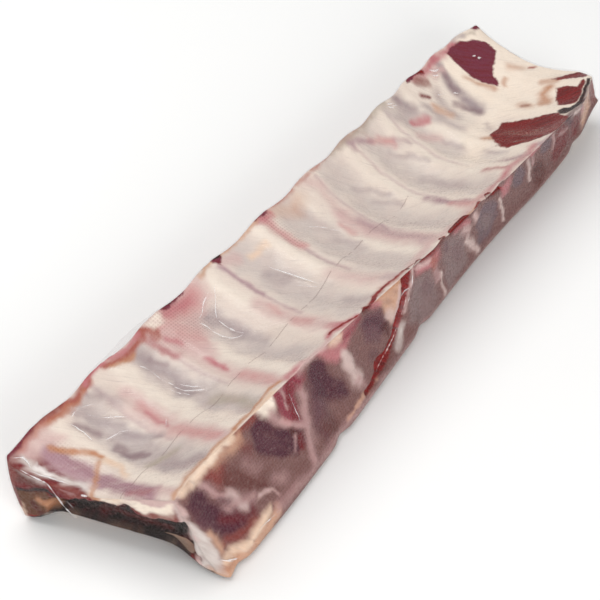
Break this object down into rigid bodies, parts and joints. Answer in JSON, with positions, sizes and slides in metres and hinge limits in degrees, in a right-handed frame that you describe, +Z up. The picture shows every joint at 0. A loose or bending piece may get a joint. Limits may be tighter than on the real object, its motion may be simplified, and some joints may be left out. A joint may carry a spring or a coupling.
{
  "type": "pork ribs",
  "caption": "Raw rack of pork ribs lying inner side up in a clear skin-tight bag: trough crossed by the ribs, raised sawn backbone side with a slit, arched underside.",
  "frame": {"origin": "middle of the rack's footprint, on the surface it lies on", "axes": "+X along the backbone from the loin end to the shoulder end, +Y from the sawn backbone side to the cut rib ends, +Z up out of the trough"},
  "size_m": [0.409, 0.1134, 0.0523],
  "materials": {
    "membrane": "wet cream and grey-white membrane and fat over the ribs, with pink streaks, seen through clear film",
    "meat": "dark red to purple-brown meat and sawn bone with pale seams, seen through clear film",
    "film": "clear glossy film with fine embossing and small wrinkles"
  },
  "bodies": {
    "root": {"pork_ribs_pack": "membrane"}
  },
  "joints": []
}
